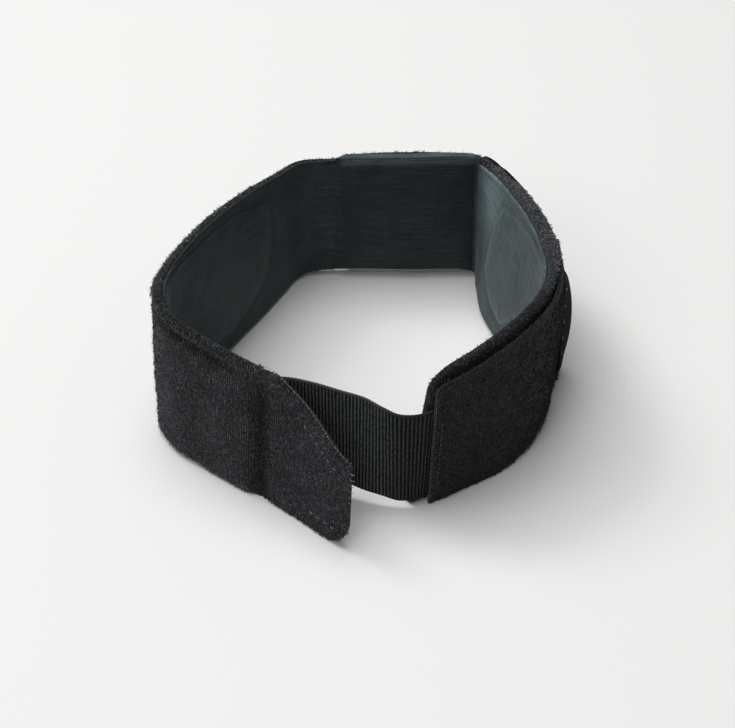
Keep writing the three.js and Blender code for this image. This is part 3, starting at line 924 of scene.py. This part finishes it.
def lining_tone(layer):
    """Painted light and shade on the lining: painted light over the right wing, most at its upper
    corner, and beside the right pad's upper part, a painted highlight on the panel's top band and
    along the pads' edges, and painted shade on the panel's face, along the left wing's top edge, just
    outside the pads, on the right pad's face and low on the right wing.
    """
    s, z = layer.s, layer.z
    start, end = RIGHT_CREASE, mark["right turn front"]
    wing = between(s, start + 0.4, start + 3, end - 12, end + 6)
    corner = near(s, mark["right bend"] + 4, 9) * ease(z, 20, 46)
    from_top = below_rim(s, z)
    top_band = in_panel(s) * (1 - ease(from_top, 1.0, 2.0))
    dim = 0.35 * in_panel(s) * (1 - top_band)
    dim = dim + 0.4 * left_rim(s) * (1 - ease(from_top, 0.6, 1.6))
    left = inside_pad(LEFT_PAD, LEFT_PAD_OUTLINE, s, z)
    right = inside_pad(RIGHT_PAD, RIGHT_PAD_OUTLINE, s, z)
    lip = 0.16 * near(left, 0.5, 0.6) + 0.5 * near(right, 0.6, 0.8)
    shade = 0.22 * near(left, -1.2, 1.6) + 0.4 * near(right, -1.2, 1.4)
    face = 0.3 * ease(right, 0.8, 3)
    bright = 0.5 * near(right, -3.2, 2) * ease(z, 22, 38)
    low = 0.6 * wing * (1 - ease(z, 14, 34)) * (right < 0)
    wing = wing * (1.35 + 2.6 * corner) + bright - low
    return 1 + wing - dim + 1.05 * top_band + lip - shade - face


def lining_relief(s, z):
    creases = 0.8 * near(s, LEFT_CREASE - 0.6, 1.2)
    creases = creases + 0.6 * near(s, RIGHT_CREASE + 0.4, 0.9)
    return creases + waver(s, z, 0.1)


def lining_span(s):
    low, high = body_span(LINING_INSET)(s)
    hidden = 1 - ease(s, mark["left turn front"], mark["left turn"] + 3)
    hidden = hidden + ease(s, mark["right turn"] - 8, mark["right turn"] + 2)
    cover = np.maximum(in_panel(s) * PANEL["cover"], left_rim(s) * RIM["cover"])
    return low, high + cover - hidden * RIM["hidden"]


lining = Layer(body, LINING_INSET, body.length - LINING_INSET, lining_span,
               (LINING_IN, lambda s: LINING_OUT + in_panel(s) * PANEL["lining"]),
               radius=0.42, rim=0.4, step=1, fine=1.1, relief_in=lining_relief)
lining_cloth = lining.make("lining_tricot", TRICOT)
paint(lining_cloth, lining_tone(lining))


def pad_layer(start, end, span):
    return Layer(body, start, end, span, (PAD_FACE, PAD_BASE), radius=0.04, rim=0.04,
                 step=0.8, fine=0.8)


def crowned(layer, height, share):
    """Lets a pad's inner face rise from a thin lip at its rim to its crown."""
    face = PAD_BASE - PAD_RISE["lip"] - height * share
    layer.out = layer.out + (face - PAD_FACE) * layer.inner_half
    layer.points = body.point(layer.s, layer.z, layer.out)


# The pads are filled by a cloth run: pressure lifts each cover between its stitched edges.
# The pressure was chosen for a copy of the pad that is larger by the scale.
CLOTH_RUN = {"scale": 10, "pressure": 4, "quality": 5, "frames": 20}
FACE_WEIGHT = 0.99


def stitched_points(layer):
    """All points that the stitching holds: every one off the inner face, and the rows at both ends."""
    rows, columns = layer.s.shape
    row = np.repeat(np.arange(rows), columns)
    ends = (row == 0) | (row == rows - 1)
    return np.flatnonzero(ends | (layer.inner.ravel() < FACE_WEIGHT))


def filled(o, layer):
    """Runs the cloth on a copy of a pad, writes the result to the pad's mesh and drops the copy."""
    copy = mesh_object(o.name + "_run", layer.points.reshape(-1, 3) * CLOTH_RUN["scale"],
                       layer.faces(), TRICOT)
    copy.vertex_groups.new(name="stitched").add(stitched_points(layer).tolist(), 1.0, "REPLACE")
    cloth = copy.modifiers.new("cloth", "CLOTH")
    cloth.settings.quality = CLOTH_RUN["quality"]
    cloth.settings.vertex_group_mass = "stitched"
    cloth.settings.use_pressure = True
    cloth.settings.uniform_pressure_force = CLOTH_RUN["pressure"]
    cloth.settings.effector_weights.gravity = 0
    cloth.collision_settings.use_collision = False
    for number in range(1, CLOTH_RUN["frames"] + 1):
        scene.frame_set(number)
    run = copy.evaluated_get(bpy.context.evaluated_depsgraph_get())
    place = np.zeros(layer.points.size, np.float32)
    run.data.vertices.foreach_get("co", place)
    o.data.vertices.foreach_set("co", place / CLOTH_RUN["scale"])
    o.data.update()
    bpy.data.objects.remove(copy)
    scene.frame_set(1)


def finished_pad(name, pad):
    o = pad.make(name, TRICOT)
    filled(o, pad)
    paint(o, lining_tone(pad))
    return o


def shaped_pad(name, place, outline):
    start, end = place

    def span(s):
        return read_edges(outline, (s - start) / (end - start))

    pad = pad_layer(start, end, span)
    depth = np.clip(inside_pad(place, outline, pad.s, pad.z) / PAD_RISE["wide"], 0, 1)
    crowned(pad, PAD_RISE["height"], 1 - (1 - depth) ** 2)
    return finished_pad(name, pad)


def back_pad():
    start = LEFT_CREASE + PANEL_PAD["from_crease"]
    end = RIGHT_CREASE - PANEL_PAD["from_crease"]

    def span(s):
        return PANEL_PAD["low"], body.read("rise", s) - PANEL_PAD["top"]

    pad = pad_layer(start, end, span)
    low, high = span(pad.s)
    bevel = np.clip((high - pad.z) / PANEL_PAD["bevel"], 0, 1)
    foot = ease(pad.z - low, -1.5, 1.5)
    sides = ease(pad.s - start, -0.5, 2.5) * ease(end - pad.s, -0.5, 4)
    crowned(pad, PAD_RISE["panel"], bevel * foot * sides)
    return finished_pad("pad_back_tricot", pad)


pad_left = shaped_pad("pad_left_tricot", LEFT_PAD, LEFT_PAD_OUTLINE)
pad_right = shaped_pad("pad_right_tricot", RIGHT_PAD, RIGHT_PAD_OUTLINE)
pad_back = back_pad()

# The elastic, with real ribs across it


def ribs(s, z):
    return -RIB["deep"] * (1 - np.abs(np.sin(math.pi * s / RIB["pitch"])))


elastic = Layer(elastic_path, 0, elastic_path.length,
                lambda s: (0, elastic_path.read("rise", s)), (0, ELASTIC_THICK),
                radius=0.4, rim=0.3, step=RIB["pitch"] / 4, fine=1.6,
                relief=ribs, relief_in=lambda s, z: -ribs(s, z))
elastic_cloth = elastic.make("front_elastic_web", ELASTIC)
# Painted shade on the elastic where it lies along the body under the patch; the bare front part keeps
# a brighter tone.
paint(elastic_cloth, 1.4 - 0.85 * (1 - ease(elastic.s, ELASTIC_BARE - 3, ELASTIC_BARE + 9)))

# The end patch, its binding and the outer strap
patch_start = mark["right wing front"] - PATCH["past_wing"]
patch_end = body.length - PATCH["from_end"]
patch_length = patch_end - patch_start


def stand_from(rows, start, length):
    def stand(s, z):
        top, low = read_edges(rows, (s - start) / length)
        return low + (top - low) * np.clip(z / body.read("rise", s), 0, 1)
    return stand


flare = stand_from(PATCH_STAND, patch_start, patch_length)


def patch_stand(s, z):
    """The flare of the back end; its top lies against the body, above the elastic."""
    hug = 1.5 * ease(z, 39, 48) * (1 - ease(s - patch_start, 14, 42))
    return flare(s, z) - hug


# Painted shade: the patch is darker all over, as it faces away from the lamps; it is paler at its
# front edge and towards its back end.
def patch_tone(s, z):
    edge = near(patch_end - s, 0.2, 0.7)
    back = 1 - ease(s - patch_start, 8, 30)
    return 0.57 + 0.34 * edge + 0.2 * back


def patch_span(s):
    front = corner_loss(patch_end - s, PATCH["corner"])
    back = corner_loss(s - patch_start, PATCH["back_corner"])
    return back, body.read("rise", s) - PATCH["below_rim"] - front - back


patch = Layer(body, patch_start, patch_end, patch_span, (PATCH_IN, PATCH_OUT), radius=0.75,
              rim=0.7, step=1.2, fine=1.2, stand=patch_stand,
              relief=lambda s, z: waver(s, z, 0.2) - 0.35 * near(patch_end - s, 2.2, 0.7))
patch_cloth = patch.make("end_patch_pile", PILE_GROUND)
paint(patch_cloth, 0.66 * patch_tone(patch.s, patch.z))
patch_fuzz = pile("end_patch_fuzz", patch, 24000, 12,
                  lambda g: grown(g, 0.6), PILE_STRAND, 0.9, patch_tone)

BIND_LIFT = {"tall": 3.0, "from": 6, "to": 40}


def binding_lift(s, z):
    """The binding bulges off the patch at its back edge, most at half its height."""
    share = portion(z, BIND_LIFT["from"], BIND_LIFT["to"])
    back = 1 - ease(s - patch_start, 0, BINDING["length"])
    return BIND_LIFT["tall"] * back * np.sin(math.pi * share) ** 0.6


binding_start = patch_start + BINDING["from_end"]
binding_end = binding_start + BINDING["length"]
binding = Layer(body, binding_start, binding_end,
                lambda s: (BINDING["low"], BINDING["high"]),
                (BINDING_IN, BINDING_OUT), radius=0.35, rim=0.3, step=0.8, fine=1.1,
                stand=lambda s, z: patch_stand(s, z) + binding_lift(s, z))
binding_cloth = binding.make("patch_binding_web", STRAP_WEB)
paint(binding_cloth, 0.3 + 0 * binding.s)
bind_z = np.arange(BINDING["low"] + 7, BINDING["high"] - 4, 6.5)
bind_s = binding_end - 0.6 + 0 * bind_z
bind_out = BINDING_OUT + patch_stand(bind_s, bind_z) + binding_lift(bind_s, bind_z) + 0.1
bind_bars = bars("binding_bars", body, bind_s, bind_z, bind_out, PALE_THREAD, length=2.2, thick=0.3)

strap_start = LEFT_CREASE + STRAP["from_crease"]
strap_end = patch_start + STRAP["under_patch"]
STRAP_SUNK = {"panel": 1.6, "wing": 2.5}


def strap_span(s):
    sunk = STRAP_SUNK["panel"] * in_panel(s) + STRAP_SUNK["wing"] * wing_bulge(s)
    return STRAP["low"], body.read("rise", s) - STRAP["below_rim"] - sunk


strap = Layer(body, strap_start, strap_end, strap_span,
              (ELASTIC_IN, ELASTIC_OUT), radius=0.45, rim=0.4, step=0.55, fine=1.6,
              stand=stand_from(STRAP_STAND, strap_start, strap_end - strap_start),
              relief=lambda s, z: 0.6 * ribs(s, z))
strap_cloth = strap.make("outer_strap_web", STRAP_WEB)
paint(strap_cloth, 1 + 0 * strap.s)


# The closure tab and the hook tape under it

def tab_span(inset):
    def span(s):
        slope = np.clip(s / (tab_path.length - TAB["level"]), 0, 1)
        end_high = TAB["end_high"] * BAND_HEIGHT
        rise = tab_path.read("rise", s)
        high = np.minimum(end_high + (rise - end_high) * slope, rise)
        return inset + corner_loss(s, TAB["corner"]), high - inset
    return span


def tab_relief(s, z):
    return waver(s, z, 0.2) - 1.3 * root_dent(tab_path.length - s, z)


# Painted shade in the valley at the tab's root.
def tab_tone(s, z):
    return 0.94 - 0.5 * root_shade(tab_path.length - s, z)


tab = Layer(tab_path, 0, tab_path.length, tab_span(0), (SHELL_IN, TAB_OUT),
            radius=1.0, rim=0.2, step=1.1, fine=1.2, relief=tab_relief)
tab_cloth = tab.make("closure_tab_pile", PILE_GROUND)
paint(tab_cloth, tab_tone(tab.s, tab.z))
tab_fuzz = pile("closure_tab_fuzz", tab, 12500, 13,
                lambda g: grown(g, 0.4) * root_tufts(tab_path.length - g.s),
                PILE_STRAND, 0.85, tab_tone)

hook = Layer(tab_path, TAB_HOOK["inset"], tab_path.length - TAB_HOOK["from_seam"],
             tab_span(TAB_HOOK["inset"]), (HOOK_IN - 0.6, HOOK_IN), radius=0.25, rim=0.2)
hook_cloth = hook.make("tab_hook_tape", HOOK)
hook_teeth = pile("tab_hook_teeth", hook, 2600, 14, lambda g: g.inner, HOOK, 0.45)

# Seams
rim_s = np.linspace(2, body.length - 6, 900)
rim_seam = seam("rim_seam", body, rim_s, lining_span(rim_s)[1] - 1.4, LINING_IN - 0.02,
                DARK_THREAD, facing=-1, pitch=2.2, length=1.4, thick=0.26, bow=0.1)
diagonal_s = np.linspace(3, 21, 60)
diagonal_seam = seam("tab_diagonal_seam", tab_path, diagonal_s, tab_span(0)(diagonal_s)[1] - 4.2,
                     TAB_OUT + 0.75, PALE_THREAD, pitch=3.1, length=1.2, thick=0.2)
# A pale thread along the tab's upper edge: part real thread, part painted highlight on that cut edge.
edge_s = np.linspace(1, tab_path.length - TAB["level"] - 1, 60)
edge_thread_and_highlight = seam("tab_edge_thread_and_highlight", tab_path, edge_s, tab_span(0)(edge_s)[1] + 0.45,
                   TAB_OUT - 1.1, EDGE_THREAD_AND_HIGHLIGHT, pitch=1.3, length=1.15, thick=0.22, bow=0.1)


# The overlock's threads reach past the upper part of the tab's free end
tab_top = TAB["end_high"] * BAND_HEIGHT
teeth_z = np.arange(tab_top - 13, tab_top, 2.2)
teeth = bars("tab_end_teeth", tab_path, 0 * teeth_z, teeth_z, TAB_OUT - 0.9, PALE_THREAD,
             ahead=-0.9, length=2.4, thick=0.22)
low_s = np.linspace(3, 13, 40)
low_seam = seam("tab_low_seam", tab_path, low_s, 6.5 + 0.05 * low_s, TAB_OUT + 0.75, PALE_THREAD,
                pitch=2.9, length=1.5, thick=0.24)
root_s = np.linspace(tab_path.length - 6, tab_path.length - 0.5, 20)
root_seam = seam("tab_root_seam", tab_path, root_s, 1.6 + 0 * root_s, TAB_OUT + 0.5, PALE_THREAD,
                 pitch=2.6, length=1.3, thick=0.3)
patch_z = np.linspace(2, body.read("rise", patch_end) - PATCH["below_rim"] - 4, 40)
patch_edge = seam("patch_edge_thread", body, patch_end - 0.1 + 0 * patch_z, patch_z,
                  PATCH_OUT - 0.2, DIM_THREAD, pitch=1.5, length=1.3, thick=0.24, bow=0.1)
inner_z = np.linspace(8, 34, 40)
patch_inner = seam("patch_inner_seam", body, patch_end - 2.1 + 0 * inner_z, inner_z,
                   PATCH_OUT + 0.45, DIM_THREAD, pitch=2.0, length=1.4, thick=0.2)


def ride_all(pieces, node):
    for piece in pieces:
        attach(piece, "root")
    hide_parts(node)


tab_threads = [diagonal_seam, low_seam, root_seam, edge_thread_and_highlight, teeth]
for node, slot, *pieces in (
        ("shell", "pile", shell_cloth, shell_fuzz, rim_seam),
        ("lining", "lining", lining_cloth),
        ("pad_left", "lining", pad_left),
        ("pad_back", "lining", pad_back),
        ("pad_right", "lining", pad_right),
        ("front_elastic", "webbing", elastic_cloth),
        ("end_patch", "pile", patch_cloth, patch_fuzz, patch_edge, patch_inner),
        ("patch_binding", "binding", binding_cloth, bind_bars),
        ("outer_strap", "webbing", strap_cloth),
        ("closure_tab", "pile", tab_cloth, tab_fuzz, *tab_threads),
        ("tab_hook", "hook", hook_cloth, hook_teeth)):
    ride_all(pieces, node)


# The floor, the light and the camera

def floor():
    size = 3000
    corners = [(-size, -size, 0), (size, -size, 0), (size, size, 0), (-size, size, 0)]
    o = mesh_object("floor", corners, [[0, 1, 2, 3]], floor_material())


def area_light(name, place, size, power):
    data = bpy.data.lights.new(name, "AREA")
    data.shape = "DISK"
    data.size = size
    data.energy = power
    o = in_scene(name, data)
    o.location = place
    o.rotation_euler = (Vector(LIGHT_TARGET) - Vector(place)).to_track_quat("-Z", "Y").to_euler()


def sky(strength):
    world = bpy.data.worlds.new("studio")
    world.use_nodes = True
    background = world.node_tree.nodes["Background"].inputs
    background["Color"].default_value = SKY_COLOUR
    background["Strength"].default_value = strength
    scene.world = world


# Columns: name, place and size in metres, power in watts
LIGHTS = (
    ("overhead", (-0.3, 0.2, 1.5), 1.4, 16),
    ("key", (-1.4, 1.0, 2.0), 1.0, 18),
    ("front", (-0.8, -1.4, 1.6), 1.2, 9),
)
LIGHT_TARGET = (0, 0, 0.02)
SKY_STRENGTH = 0.17
SKY_COLOUR = (1, 1, 0.99, 1)
CAMERA_TARGET = (1.178, -15.31, 25)
CAMERA_DISTANCE = 628.3
CAMERA_ELEVATION = 38.5
FOCAL_PIXELS, IMAGE_WIDTH, SENSOR = 2000, 735, 36


def camera():
    tilt = math.radians(CAMERA_ELEVATION)
    x, y, z = (value * MM for value in CAMERA_TARGET)
    away = CAMERA_DISTANCE * MM
    data = bpy.data.cameras.new("camera")
    data.sensor_fit = "HORIZONTAL"
    data.sensor_width = SENSOR
    data.lens = FOCAL_PIXELS / IMAGE_WIDTH * SENSOR
    data.clip_start, data.clip_end = 0.01, 20
    o = in_scene("camera", data)
    o.location = (x, y - away * math.cos(tilt), z + away * math.sin(tilt))
    o.rotation_euler = (math.pi / 2 - tilt, 0, 0)
    scene.camera = o


floor()
sky(SKY_STRENGTH)
for light in LIGHTS:
    area_light(*light)
camera()
scene.view_settings.view_transform = "Standard"
